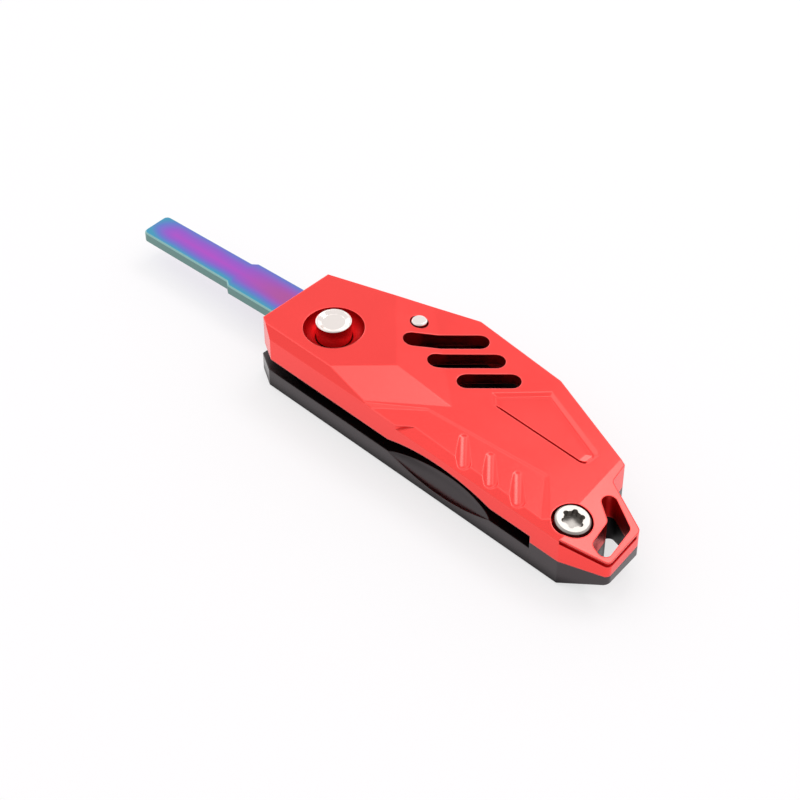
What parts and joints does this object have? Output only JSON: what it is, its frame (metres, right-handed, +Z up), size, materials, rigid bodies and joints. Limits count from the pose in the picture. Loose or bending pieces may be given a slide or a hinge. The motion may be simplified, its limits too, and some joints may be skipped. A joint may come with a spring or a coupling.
{
  "type": "flip key remote shell",
  "caption": "Folding car key shell of two milled aluminium halves with a spring-thrown key blade, a round release button and a lanyard eye.",
  "frame": {"origin": "on the base plane, under the pivot axis of the blade", "axes": "+X towards the tail with the lanyard eye, +Y towards the back edge, +Z up through the push button"},
  "size_m": [0.1145, 0.0279, 0.0139],
  "materials": {
    "red_anodised": "satin, bead blasted and anodised red",
    "black_anodised": "satin, bead blasted and anodised black",
    "coated_blade_steel": "iridescent coating, purple to blue and teal",
    "dark_hub_steel": "blackened",
    "plain_steel": "ground",
    "polished_chrome": "polished",
    "spring_steel": "drawn wire",
    "bright_screw_steel": "turned",
    "insert_brass": "turned"
  },
  "bodies": {
    "shell": {"top_shell": "red_anodised", "bottom_shell": "black_anodised", "dowel_pin": "polished_chrome", "locating_dowels": "plain_steel", "tail_screw": "bright_screw_steel", "threaded_insert": "insert_brass", "underside_screws": "bright_screw_steel", "pivot_sleeve": "plain_steel", "button_spring": "spring_steel", "flip_spring": "spring_steel", "lower_washer": "plain_steel", "upper_washer": "plain_steel", "hub_stop_pin": "plain_steel"},
    "blade": {"key_blade": "coated_blade_steel", "blade_hub": "dark_hub_steel", "blade_pin": "plain_steel"},
    "button": {"push_button": "polished_chrome", "button_spindle": "plain_steel", "lock_plate": "dark_hub_steel", "retaining_clip": "spring_steel"}
  },
  "joints": [
    {"name": "blade_flip", "type": "hinge", "parent": "shell", "child": "blade", "pos_m": [0, 0, 0.00515], "axis": [0, 0, 1], "range_deg": [0, 176.6], "stiffness_Nm_per_rad": 0.01, "springref_deg": -45.84, "deforming": ["flip_spring"]},
    {"name": "button_press", "type": "slide", "parent": "blade", "child": "button", "axis": [0, 0, -1], "range_m": [0, 0.0014], "stiffness_N_per_m": 300, "springref_m": -0.002, "deforming": ["button_spring"]}
  ]
}
